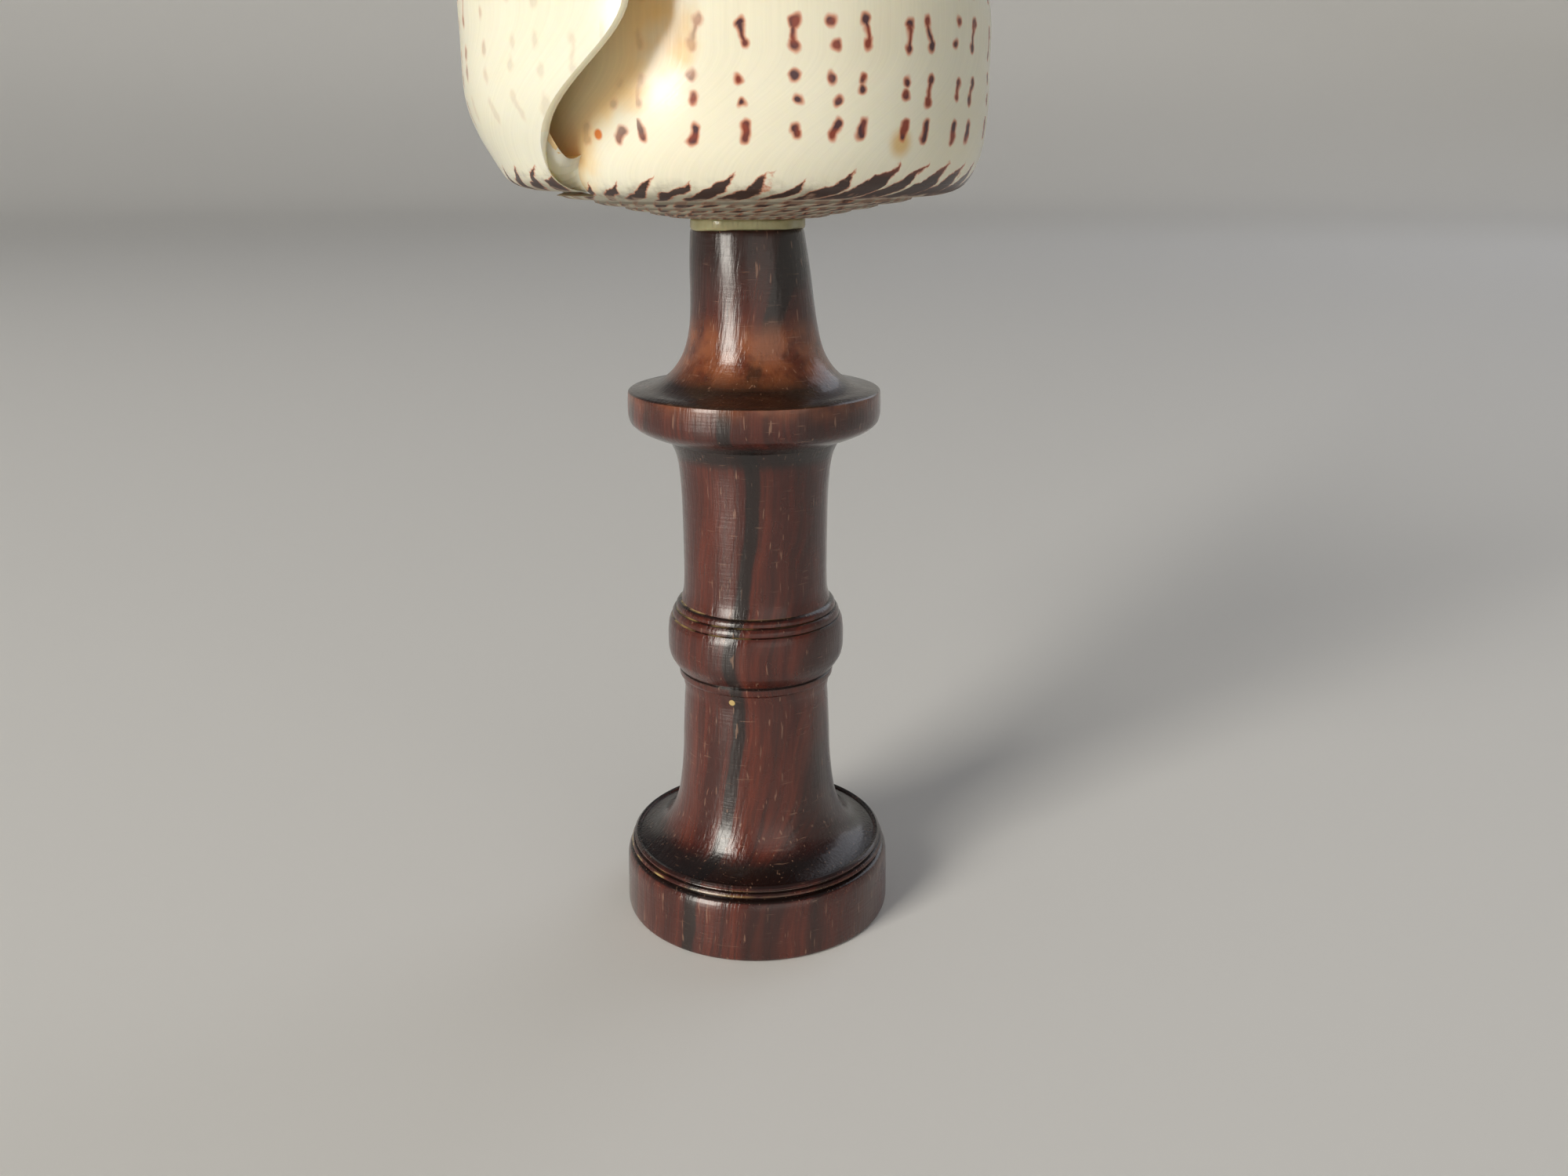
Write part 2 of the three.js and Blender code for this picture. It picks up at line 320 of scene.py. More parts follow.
def painted_over(tree, ground, layers):
    """Colours laid over a ground one after another, each as strongly as its mask."""
    for mask, colour in layers:
        mixed = add_node(tree, "Mix", {0: mask, 6: ground, 7: colour}, data_type="RGBA")
        ground = mixed.outputs[2]
    return ground


def band_mask(tree, value, middle, half, edge, most=1.0):
    """A mask where the value lies within a band, all in millimetres, with soft edges."""
    off = add_node(tree, "Math", {0: value, 1: middle * MM}, operation="SUBTRACT")
    away = add_node(tree, "Math", {0: off}, operation="ABSOLUTE")
    return add_node(tree, "MapRange", {
        "Value": away, "From Min": (half + edge) * MM, "From Max": half * MM,
        "To Max": most}, **SOFT_STEP)


def spot_mask(tree, place, middle, radius, edge, most=1.0):
    """A mask round one point of the surface, all in millimetres, with a soft edge."""
    away = add_node(tree, "VectorMath", {
        0: place, 1: [each * MM for each in middle]}, operation="DISTANCE")
    return add_node(tree, "MapRange", {
        "Value": away.outputs["Value"], "From Min": (radius + edge) * MM,
        "From Max": radius * MM, "To Max": most}, **SOFT_STEP)


def wood_material(sizes):
    """Rosewood, turned on a lathe and waxed: dark red-brown layers with black veins, open
    pores with pale wax in them, fine scratches round it, darker upward faces and neck top,
    and painted shade on the right side, under the collar and in two grooves."""
    material, tree, surface = new_material("turned_waxed_rosewood")
    place = add_node(tree, "TexCoord").outputs["Object"]
    spot = add_node(tree, "SeparateXYZ", {0: place})
    height = spot.outputs["Z"]

    # The layers stand nearly upright, cross the front at a slant and wave by about 1 mm
    wave = add_node(tree, "TexNoise", {"Vector": place, "Scale": 0.048 / MM, "Detail": 3.0})
    waved = add_node(tree, "MapRange", {
        "Value": wave, "To Min": -0.0022, "To Max": 0.0022})
    across = add_node(tree, "VectorMath", {
        0: place, 1: (1.0, -0.6, -0.08)}, operation="DOT_PRODUCT")
    layer = add_node(tree, "Math", {0: across.outputs["Value"], 1: waved})
    along = add_node(tree, "VectorMath", {0: place, 1: (0.06, 0.1, 0)}, operation="DOT_PRODUCT")
    upright = add_node(tree, "Math", {0: height, 1: 0.05}, operation="MULTIPLY")
    layered = add_node(tree, "CombineXYZ", {
        0: layer, 1: along.outputs["Value"], 2: upright})
    broad = add_node(tree, "TexNoise", {
        "Vector": layered, "Scale": 0.38 / MM, "Detail": 3.0, "Roughness": 0.6})
    broad_share = add_node(tree, "MapRange", {
        "Value": broad, "From Min": 0.42, "From Max": 0.68})
    fine = add_node(tree, "TexNoise", {
        "Vector": layered, "Scale": 2.4 / MM, "Detail": 3.0, "Roughness": 0.6})
    fine_share = add_node(tree, "MapRange", {
        "Value": fine, "From Min": 0.62, "From Max": 0.38, "To Max": 0.55})

    # One black vein runs down the front, with thin ones beside it and a broad dark layer that is
    # partly painted shade on the wood's right side
    veins_and_painted_shade = strongest(tree, [
        band_mask(tree, layer, middle, half, edge, most) for middle, half, edge, most in (
            (0.5, 0.7, 0.45, 0.9), (11.4, 1.4, 2.4, 0.45), (-12.6, 0.3, 0.4, 0.6),
            (17.5, 0.4, 0.6, 0.5), (-17.0, 0.9, 0.6, 0.7), (5.6, 0.1, 0.3, 0.35))])

    # Hands have rubbed the lower neck orange; upward faces and the top of the neck are darker
    cloud = add_node(tree, "TexNoise", {"Vector": place, "Scale": 0.33 / MM, "Detail": 4.0})
    patchy = add_node(tree, "MapRange", {
        "Value": cloud, "From Min": 0.38, "From Max": 0.58, "To Min": 0.25})
    rubbed = overlap(tree, [band_mask(tree, height, 75.0, 2.4, 4.2, 0.75), patchy])
    facing = add_node(tree, "SeparateXYZ", {
        0: add_node(tree, "NewGeometry").outputs["Normal"]})
    upward = add_node(tree, "MapRange", {
        "Value": facing.outputs["Z"], "From Min": 0.55, "From Max": 0.84, "To Max": 0.92})
    neck_top = add_node(tree, "MapRange", {
        "Value": height, "From Min": 0.0785, "From Max": 0.0875, "To Max": 0.72})
    # Painted shade: near-black in the band under the collar and along the bottoms of two grooves
    darkening_and_painted_shade = strongest(tree, [
        upward, neck_top, band_mask(tree, height, 64.6, 0.9, 1.5, 0.85),
        band_mask(tree, height, 34.6, 0.08, 0.25, 0.9),
        band_mask(tree, height, 8.65, 0.08, 0.2, 0.95)])

    # Pores are dashes 0.25 mm wide and 2 mm long, and scratches 0.1 mm wide run round
    pore_place = add_node(tree, "Mapping", {"Vector": place, "Scale": (1.0, 1.0, 0.12)})
    pore = add_node(tree, "TexNoise", {
        "Vector": pore_place, "Scale": 2.7 / MM, "Detail": 1.0})
    pore_share = add_node(tree, "MapRange", {
        "Value": pore, "From Min": 0.68, "From Max": 0.75, "To Max": 0.4}, **SOFT_STEP)
    scratch_place = add_node(tree, "Mapping", {
        "Vector": place, "Rotation": (0.05, 0.03, 0.0), "Scale": (0.07, 0.07, 1.0)})
    scratch = add_node(tree, "TexNoise", {
        "Vector": scratch_place, "Scale": 4.3 / MM, "Detail": 2.0})
    scratch_share = add_node(tree, "MapRange", {
        "Value": scratch, "From Min": 0.67, "From Max": 0.76, "To Max": 0.3}, **SOFT_STEP)

    # Old polish in thin lines along the grooves, most of it on the left, and a glue drop
    lines = strongest(tree, [
        band_mask(tree, height, middle, half, 0.06) for middle, half in (
            (9.1, 0.12), (9.62, 0.05), (41.72, 0.04), (42.82, 0.05), (43.78, 0.05))])
    leftward = add_node(tree, "MapRange", {
        "Value": spot.outputs["X"], "From Min": 0.002, "From Max": -0.011, "To Min": 0.05,
        "To Max": 0.75})
    broken = add_node(tree, "TexNoise", {"Vector": place, "Scale": 0.38 / MM, "Detail": 4.0})
    broken_share = add_node(tree, "MapRange", {
        "Value": broken, "From Min": 0.42, "From Max": 0.62})
    polish = overlap(tree, [lines, leftward, broken_share])
    drop = spot_mask(tree, place, (-2.95, -9.3, 32.4), 0.36, 0.12)
    coloured = painted_over(tree, sizes.heartwood, [
        (broad_share, sizes.pale_wood), (fine_share, linear("#2B100A")),
        (veins_and_painted_shade, sizes.dark_vein_and_shade), (rubbed, sizes.worn_wood), (darkening_and_painted_shade, sizes.dark_vein_and_shade),
        (strongest(tree, [pore_share, scratch_share]), linear("#A07C66")),
        (strongest(tree, [polish, drop]), sizes.residue)])

    # Lathe lines about 0.4 mm apart spread the gloss up and down, under a coat of wax
    lathe_place = add_node(tree, "Mapping", {"Vector": place, "Scale": (0.04, 0.04, 1.0)})
    lathe = add_node(tree, "TexNoise", {
        "Vector": lathe_place, "Scale": 2.6 / MM, "Detail": 4.0, "Roughness": 0.7})
    relief = add_node(tree, "Math", {
        0: lathe, 1: add_node(tree, "Math", {0: fine, 1: pore})})
    bump = add_node(tree, "Bump", {
        "Strength": 0.55, "Distance": 0.00009, "Height": relief})
    patch = add_node(tree, "TexNoise", {"Vector": place, "Scale": 0.16 / MM, "Detail": 4.0})
    rough = add_node(tree, "MapRange", {
        "Value": patch, "From Min": 0.3, "From Max": 0.7, "To Min": 0.2, "To Max": 0.36})
    tangent = add_node(tree, "Tangent", direction_type="RADIAL", axis="Z")
    fill_inputs(tree, surface, {
        "Base Color": coloured, "Roughness": rough, "Normal": bump, "Tangent": tangent,
        "IOR": 1.5, "Anisotropic": 0.7, "Anisotropic Rotation": 0.25, "Coat Weight": 0.5,
        "Coat Roughness": 0.16})
    return material


class CONE_OT_pedestal(bpy.types.Operator):
    """Turn the pedestal from one outline and give it waxed wood"""
    bl_idname = "lettered_cone.pedestal"
    bl_label = "Pedestal"

    turned_sides = 160
    lean_from = 77
    lean_to = PEDESTAL_TOP + 3

    def execute(self, context):
        sizes = context.scene.cone_pedestal
        piece = turned(pedestal_outline(sizes), self.turned_sides)
        close_up(piece)
        for vertex in piece.data.vertices:
            rise = smooth(self.lean_from, self.lean_to, vertex.co.z / MM)
            vertex.co.x -= sizes.neck_lean * float(rise)
        finish_piece(
            piece, "turned_pedestal", "pedestal", wood_material(sizes), angle=32)
        return {"FINISHED"}


# Glue

def glue_material(sizes):
    """Set resin glue, squeezed out and dried in air: glossy, slightly cloudy and yellow."""
    material, tree, surface = new_material("set_resin_glue")
    place = add_node(tree, "TexCoord").outputs["Object"]
    cloud = add_node(tree, "TexNoise", {"Vector": place, "Scale": 0.42 / MM, "Detail": 3.0})
    tint = painted_over(tree, sizes.tint, [(cloud, linear("#958B60"))])
    bump = add_node(tree, "Bump", {
        "Strength": 0.6, "Distance": 0.0003, "Height": cloud})
    fill_inputs(tree, surface, {
        "Base Color": tint, "Normal": bump, "Roughness": 0.22, "Subsurface Weight": 0.25,
        "Subsurface Scale": 0.001})
    return material


class CONE_OT_glue(bpy.types.Operator):
    """Press a bed of glue between the pedestal and the shell"""
    bl_idname = "lettered_cone.glue"
    bl_label = "Glue"

    towards_neck = 0.75

    def execute(self, context):
        sizes = context.scene.cone_glue
        level = (PEDESTAL_TOP - 0.25) * MM + sizes.thickness / 2
        bpy.ops.object.select_all(action="DESELECT")
        bpy.ops.mesh.primitive_cylinder_add(
            vertices=72, radius=sizes.radius, depth=sizes.thickness, location=(0, 0, level))
        piece = context.object
        bpy.ops.object.mode_set(mode="EDIT")
        bpy.ops.mesh.select_all(action="SELECT")
        bpy.ops.mesh.bevel(offset=0.4 * MM, segments=3, affect="EDGES")
        bpy.ops.mesh.subdivide(number_cuts=1)
        bpy.ops.object.mode_set(mode="OBJECT")

        # Only the rim swells and sags, by a few tenths of a millimetre
        for vertex in piece.data.vertices:
            direction = math.atan2(vertex.co.y, vertex.co.x)
            across = math.hypot(vertex.co.x, vertex.co.y) / sizes.radius
            rim = smooth(0.6, 1.0, across)
            wave = 0.3 * math.sin(2 * direction + 0.6) + 0.16 * math.sin(5 * direction)
            wave += 0.07 * math.sin(9 * direction + 1.3)
            sag = 0.07 * math.sin(3 * direction + 1.1) + 0.05 * math.sin(8 * direction)
            vertex.co.xy *= 1 + float(rim) * wave * MM / sizes.radius
            vertex.co.z += float(rim) * sag * MM
            vertex.co.x -= self.towards_neck * MM
        finish_piece(piece, "glue_bed", "glue", glue_material(sizes), angle=60)
        return {"FINISHED"}


# Shell

# Marks: columns round a whorl, waves (pace, reach, start) that part the columns unevenly,
# and the rows' first arc and pitch in metres
COLUMNS = 39
COLUMN_START = 0.49
COLUMN_DRIFTS = ((0.8, 0.2, -1.28), (1.475, 0.11, -2.17), (2.75, 0.13, -1.84))
FIRST_ROW = 0.0108
ROW_PITCH = 0.0062

# Form, in millimetres: where whorls meet, what is ground off the apex, the aperture's start
# and depths, the pillar, how far growth lags at both ends, the front notch and small swells
SUTURE = (28.5, 5.5)
GROUND_OFF = 1.75
CHAMBER_HEIGHT = 10.2
APERTURE_MIDDLE = 7.6
APERTURE_TIP = 5.4
APERTURE_WIDEST = 8.0
PILLAR_LEAST = 1.5
SHOULDER_LAG = math.radians(25.5)
SHOULDER_LAG_HEIGHTS = (7, 23)
TIP_LAG = math.radians(25)
NOTCH = 2.6
DROOP = 1.8
ROOF_SWELL = 1.3

# Turns: steps in each, where the spire begins and where the aperture's end wall stands
STEPS = 180
FIRST_TURN = -4.5
CHAMBER_TURN = 1 / 6


class Whorl:
    """The shell's growing outline and the coil that it follows."""

    def __init__(self, sizes):
        self.sizes = sizes
        self.growth = sizes.growth
        self.length = sizes.length / MM
        self.spire_level = SHELL_REST - GROUND_OFF
        widest = sizes.greatest_radius / MM
        self.ramp = curve_through(
            [(SUTURE[0] / self.growth, SUTURE[1] / self.growth), (22.95, 4.65), (23.4, 4.86),
             (25.2, 4.9), (27.0, 5.1), SUTURE], 16)
        self.side = curve_through(
            [SUTURE, (29.8, 6.2), (30.7, 7.3), (31.4, 8.6), (32.05, 10.3), (32.5, 12.3),
             (32.95, 15.5), (widest, 21.5), (33.1, 27.5), (32.3, 33), (29.8, 43), (25.4, 55.5),
             (20.1, 70), (15.1, 84), (11.5, 94), (10.0, 98), (9.0, self.length - 0.15)], 120)
        self.chamber_start = int(np.argmax(self.side[:, 1] >= CHAMBER_HEIGHT))
        self.chamber = self.side[self.chamber_start:]
        self.middle = np.array([-sizes.axis_offset, 0, 0])

    def arc(self, outline):
        """Length along an outline in metres, from its first point."""
        steps = np.linalg.norm(np.diff(outline, axis=0), axis=1)
        return np.concatenate([[0], np.cumsum(steps)]) * MM

    def lag(self, height):
        at_shoulder = SHOULDER_LAG * (1 - smooth(*SHOULDER_LAG_HEIGHTS, height))
        tip_share = np.clip((height - 84) / (self.length - 84), 0, 1)
        return -at_shoulder - TIP_LAG * tip_share ** 2

    def point(self, turns, outline, inset=0.0):
        """Points of the coil in metres. Turn 0 is the wall that the lip faces, 1 is the lip.
        The bare pairs of numbers are heights in millimetres between which a blend acts."""
        radius, height = outline[..., 0], outline[..., 1]
        scale = self.growth ** (turns - 1)
        share = (self.growth ** turns - 1) / (self.growth - 1)
        coil_gap = radius * (1 - 1 / self.growth)
        drawn = mix(APERTURE_MIDDLE, APERTURE_TIP, (height - 55) / (self.length - 55))
        gap = mix(coil_gap, np.minimum(drawn, APERTURE_WIDEST), smooth(25, 50, height))
        coiled = radius - gap * (1 - share)
        pillar = (coiled + np.sqrt(coiled ** 2 + 4 * PILLAR_LEAST ** 2)) / 2
        droop = DROOP * smooth(0.6, 1, turns) * np.exp(-(((height - 7.5) / 5) ** 2))
        across = mix(coiled, pillar, smooth(20, 60, height)) - droop - inset
        back_side = np.exp(-(((turns - 0.62) / 0.16) ** 2))
        notch = NOTCH * back_side * smooth(86, self.length, height)
        up = self.spire_level + height * mix(scale, 1.0, smooth(24, 92, height)) - notch
        up = np.maximum(up, SHELL_REST)
        direction = self.sizes.lip_direction + self.lag(height) + FULL_TURN * turns
        placed = np.stack([across * np.cos(direction), across * np.sin(direction), up], -1)
        return self.middle + placed * MM


# Below zero the arc names a surface with no marks: the aperture's walls and its roof
INSIDE = -0.05
ROOF = -0.10


def sheet_of(points, turns, arc):
    """A primitive grid rolled up to the given rows of points. Its UV map holds the turn about
    the axis and the length along the outline in metres, which the pattern follows."""
    rows, columns = points.shape[:2]
    bpy.ops.object.select_all(action="DESELECT")
    bpy.ops.mesh.primitive_grid_add(
        x_subdivisions=columns - 1, y_subdivisions=rows - 1, size=1, calc_uvs=True)
    piece = bpy.context.object
    mesh = piece.data
    mesh.vertices.foreach_set("co", points.reshape(-1))
    corner = np.empty(len(mesh.loops), dtype=np.int32)
    mesh.loops.foreach_get("vertex_index", corner)
    pairs = np.empty((rows, columns, 2), dtype=np.float32)
    pairs[..., 0] = turns
    pairs[..., 1] = arc
    layer = mesh.uv_layers[0]
    layer.name = "growth"
    layer.uv.foreach_set("vector", pairs.reshape(-1, 2)[corner].reshape(-1))
    mesh.update()
    return piece


def fan_to(rim, middle, turns, arc, count=6):
    """A sheet from a ring of points in to its middle."""
    share = np.linspace(0, 1, count)[None, :, None]
    return sheet_of(rim[:, None] * (1 - share) + middle * share, turns, arc)


def bridge(first, second, count, bulge, arc=INSIDE):
    """A sheet between two edges, which swells by the bulge halfway across."""
    share = np.linspace(0, 1, count)[None, :, None]
    rows = first[:, None] * (1 - share) + second[:, None] * share
    return sheet_of(rows + np.sin(np.pi * share) * bulge, 1.0, arc)


def shell_sheets(whorl):
    """All the surfaces of the shell, edge to edge."""
    thin, thick = whorl.sizes.lip_edge / MM, whorl.sizes.wall / MM
    arc_ramp = whorl.arc(whorl.ramp)
    arc_side = arc_ramp[-1] + whorl.arc(whorl.side)
    arc_chamber = arc_side[whorl.chamber_start:]
    lag_ramp = whorl.lag(whorl.ramp[:, 1]) / FULL_TURN
    lag_side = whorl.lag(whorl.side[:, 1]) / FULL_TURN
    lag_chamber = lag_side[whorl.chamber_start:]
    down = np.array([0, 0, -1.0]) * MM

    def turns_between(first, last):
        steps = int(round((last - first) * STEPS))
        return np.linspace(first, last, steps + 1)[:, None]

    def outer(turns):
        return whorl.point(turns, whorl.chamber)

    def inner(turns):
        deep = smooth(0, 0.12, 1 - turns)
        at_tip = mix(1, 0.6, smooth(70, 100, whorl.chamber[:, 1]))
        return whorl.point(turns, whorl.chamber, mix(thin, thick, deep) * at_tip)

    sheets = []
    spire = turns_between(FIRST_TURN, 1)
    ramp = whorl.point(spire, whorl.ramp)
    ramp[:, 0] = whorl.point(spire - 1, whorl.side[:1])[:, 0]
    sheets.append(sheet_of(ramp, spire + lag_ramp, arc_ramp))
    body = turns_between(0, 1)
    side = whorl.point(body, whorl.side)
    sheets.append(sheet_of(side, body + lag_side, arc_side))
    hidden = turns_between(CHAMBER_TURN - 1, 0)
    sheets.append(sheet_of(outer(hidden), hidden + lag_chamber, arc_chamber))
    chamber = turns_between(CHAMBER_TURN, 1)
    sheets.append(sheet_of(inner(chamber), chamber, INSIDE))

    # The chamber's roof, its end wall, the rounded lip and the rounded front rim
    roof = bridge(
        outer(chamber - 1)[:, 0], inner(chamber)[:, 0], 9, ROOF_SWELL * down, ROOF)
    last = np.array([[CHAMBER_TURN]])
    sheets += [roof, bridge(outer(last - 1)[0], inner(last)[0], 9, 0 * down)]
    lip = np.array([[1.0]])
    forward = (whorl.point(lip + 0.002, whorl.chamber) - outer(lip))[0][:, None]
    sheets.append(bridge(inner(lip)[0], outer(lip)[0], 7, forward))
    sheets.append(bridge(inner(chamber)[:, -1], outer(chamber)[:, -1], 5, -0.1 * down))

    # The lip's end at the shoulder, hollowed like the notch that the animal's gut leaves
    edge = np.concatenate([ramp[-1], side[-1, 1:whorl.chamber_start + 1]])
    nearest = np.linspace(0, whorl.chamber_start, len(edge)).round().astype(int)
    wall = side[0, nearest]
    across_lip = np.linspace(0, 1, 7)[:, None]
    across_roof = np.linspace(0, 1, 9)[1:, None]
    corner = inner(lip)[0, 0]
    lip_part = mix(edge[-1], corner, across_lip) + np.sin(np.pi * across_lip) * forward[0]
    swell = np.sin(np.pi * across_roof) * ROOF_SWELL * down
    roof_part = mix(corner, wall[-1], across_roof) + swell
    rim = np.concatenate([lip_part, roof_part])
    share = np.linspace(0, 1, len(rim))[None, :, None]
    along = np.linspace(0, 1, len(edge))[:, None, None]
    straight = edge[:, None] * (1 - share) + wall[:, None] * share
    pulled = straight + (rim[None] - straight[-1:]) * along ** 2
    back = whorl.point(lip - 0.016, whorl.side[:1])[0, 0] - side[-1, 0]
    pulled = pulled + back * np.sin(np.pi * along) * np.sin(np.pi * share)
    sheets.append(sheet_of(pulled, 0.97 + 0.05 * share[..., 0], 0.0092 + 0.0012 * along[..., 0]))

    # The front end and the worn apex close on the axis
    pillar = turns_between(CHAMBER_TURN - 1, CHAMBER_TURN)
    end = whorl.point(pillar, whorl.side[-1:])[:, 0]
    end_middle = whorl.middle + np.array([0, 0, end[0, 2] - 0.4 * MM])
    sheets.append(fan_to(end, end_middle, pillar, arc_side[-1]))
    worn = turns_between(FIRST_TURN, FIRST_TURN + 1)
    apex = whorl.middle + np.array([0, 0, SHELL_REST * MM])
    sheets.append(fan_to(ramp[:len(worn), 0], apex, worn, 0.0))
    return sheets


def shell_material(sizes):
    """Aragonite with the animal's own glaze: warm porcelain under a clear gloss, faint lines
    of growth, and marks that lie in the glaze with soft orange edges."""
    material, tree, surface = new_material("glazed_aragonite_shell")
    place = add_node(tree, "TexCoord").outputs["Object"]
    height = add_node(tree, "SeparateXYZ", {0: place}).outputs["Z"]
    growth = add_node(tree, "SeparateXYZ", {0: add_node(tree, "UVMap", uv_map="growth")})
    round_axis, arc = growth.outputs["X"], growth.outputs["Y"]
    from_axis = add_node(tree, "VectorMath", {0: place, 1: (sizes.axis_offset, 0, 0)})
    flat = add_node(tree, "VectorMath", {0: from_axis, 1: (1, 1, 0)}, operation="MULTIPLY")
    radius = add_node(tree, "VectorMath", {0: flat}, operation="LENGTH").outputs["Value"]

    # Lines of growth lag behind the axis at the shoulder: turns count along them
    lag = add_node(tree, "MapRange", {
        "Value": arc, "From Min": 0.0089, "From Max": 0.0249,
        "To Min": SHOULDER_LAG / FULL_TURN, "To Max": 0.0}, **SOFT_STEP)
    turns = add_node(tree, "Math", {0: round_axis, 1: lag})

    # Brush wobble: 0.2 mm at most, over features of about 1 mm
    wobble = add_node(tree, "TexNoise", {"Vector": place, "Scale": 0.7 / MM, "Detail": 1.0})
    centred = add_node(tree, "VectorMath", {
        0: wobble.outputs["Color"], 1: (0.5, 0.5, 0.5)}, operation="SUBTRACT")
    warp = add_node(tree, "VectorMath", {
        0: centred, 1: (0.0009, 0.0010, 0.0)}, operation="MULTIPLY")

    # Cells: 39 columns round a whorl and rows 6.2 mm apart; the first is a little closer
    column = add_node(tree, "Math", {
        0: round_axis, 1: COLUMNS, 2: COLUMN_START}, operation="MULTIPLY_ADD")
    row = add_node(tree, "Math", {
        0: add_node(tree, "Math", {0: arc, 1: FIRST_ROW}, operation="SUBTRACT"),
        1: ROW_PITCH}, operation="DIVIDE")
    column_number = add_node(tree, "Math", {0: column}, operation="FLOOR")
    row_number = add_node(tree, "Math", {0: row}, operation="FLOOR")
    column_part = add_node(tree, "Math", {0: column, 1: column_number}, operation="SUBTRACT")
    row_part = add_node(tree, "Math", {0: row, 1: row_number}, operation="SUBTRACT")
    draws = []
    for level in (0.0, 7.0):
        cell = add_node(tree, "CombineXYZ", {0: column_number, 1: row_number, 2: level})
        noise = add_node(tree, "TexWhiteNoise", {"Vector": cell})
        draws.append(add_node(tree, "SeparateXYZ", {0: noise.outputs["Color"]}))
    chance, luck = draws

    # Columns stand unevenly, as the animal's pauses in growth were
    drift = None
    for pace, most, start in COLUMN_DRIFTS:
        angle = add_node(tree, "Math", {
            0: column_number, 1: pace, 2: start}, operation="MULTIPLY_ADD")
        sway = add_node(tree, "Math", {
            0: add_node(tree, "Math", {0: angle}, operation="SINE"), 1: most},
            operation="MULTIPLY")
        drift = sway if drift is None else add_node(tree, "Math", {0: drift, 1: sway})

    # Where the point lies from the mark's middle, in metres; marks are a little upright
    column_width = add_node(tree, "Math", {
        0: radius, 1: FULL_TURN / COLUMNS}, operation="MULTIPLY")
    from_centre = add_node(tree, "Math", {0: column_part, 1: 0.5}, operation="SUBTRACT")
    sideways = add_node(tree, "Math", {
        0: add_node(tree, "Math", {0: from_centre, 1: drift}, operation="SUBTRACT"),
        1: column_width}, operation="MULTIPLY")
    upwards = add_node(tree, "Math", {
        0: add_node(tree, "Math", {0: row_part, 1: 0.5}, operation="SUBTRACT"),
        1: ROW_PITCH}, operation="MULTIPLY")
    first_row = add_node(tree, "Math", {0: row_number, 1: 0.5}, operation="LESS_THAN")
    closer = add_node(tree, "MapRange", {"Value": first_row, "To Max": -0.0013})
    jump = add_node(tree, "MapRange", {
        "Value": chance.outputs["X"], "To Min": -0.0003, "To Max": 0.0003})
    rise = add_node(tree, "MapRange", {
        "Value": chance.outputs["Y"], "To Min": -0.0004, "To Max": 0.0004})
    shift = add_node(tree, "CombineXYZ", {
        0: jump, 1: add_node(tree, "Math", {0: rise, 1: closer})})
    from_middle = add_node(tree, "VectorMath", {
        0: add_node(tree, "CombineXYZ", {0: sideways, 1: upwards}), 1: shift})
    wobbly = add_node(tree, "VectorMath", {0: from_middle, 1: warp})
    spot = add_node(tree, "VectorMath", {0: wobbly, 1: (1, 0.72, 1)}, operation="MULTIPLY")

    # Each mark is two dots on a leaning line: apart, joined by a bar, or nearly one
    lean = add_node(tree, "MapRange", {
        "Value": luck.outputs["X"], "To Min": -0.0004, "To Max": 0.0004})
    reach = add_node(tree, "MapRange", {
        "Value": chance.outputs["Z"], "From Min": 0.1, "From Max": 0.4,
        "To Min": 0.0004, "To Max": 0.00098})
    short = add_node(tree, "MapRange", {"Value": first_row, "To Min": 1.0, "To Max": 0.55})
    half = add_node(tree, "Math", {0: reach, 1: short}, operation="MULTIPLY")
    arm = add_node(tree, "CombineXYZ", {0: lean, 1: half})
    along = add_node(tree, "VectorMath", {0: spot, 1: arm}, operation="DOT_PRODUCT")
    square = add_node(tree, "VectorMath", {0: arm, 1: arm}, operation="DOT_PRODUCT")
    ratio = add_node(tree, "Math", {
        0: along.outputs["Value"], 1: square.outputs["Value"]}, operation="DIVIDE")
    kept = add_node(tree, "Clamp", {"Value": ratio, "Min": -1.0, "Max": 1.0})
    end = add_node(tree, "Math", {0: along.outputs["Value"]}, operation="SIGN")
    distances = []
    for share in (kept, end):
        on_line = add_node(tree, "VectorMath", {0: arm, "Scale": share}, operation="SCALE")
        distances.append(add_node(tree, "VectorMath", {
            0: spot, 1: on_line}, operation="DISTANCE").outputs["Value"])
    thin_bar = add_node(tree, "MapRange", {
        "Value": luck.outputs["Z"], "From Min": 0.35, "From Max": 0.45,
        "To Min": -0.0004, "To Max": 0.00018})
    full_bar = add_node(tree, "MapRange", {
        "Value": first_row, "To Min": -0.0004, "To Max": 0.00036})
    bar_radius = add_node(tree, "Math", {0: thin_bar, 1: full_bar}, operation="MAXIMUM")
    dot_radius = add_node(tree, "MapRange", {
        "Value": luck.outputs["Y"], "To Min": 0.00026, "To Max": 0.00044})
    to_bar = add_node(tree, "Math", {0: distances[0], 1: bar_radius}, operation="SUBTRACT")
    to_dot = add_node(tree, "Math", {0: distances[1], 1: dot_radius}, operation="SUBTRACT")
    to_mark = add_node(tree, "Math", {0: to_bar, 1: to_dot}, operation="MINIMUM")

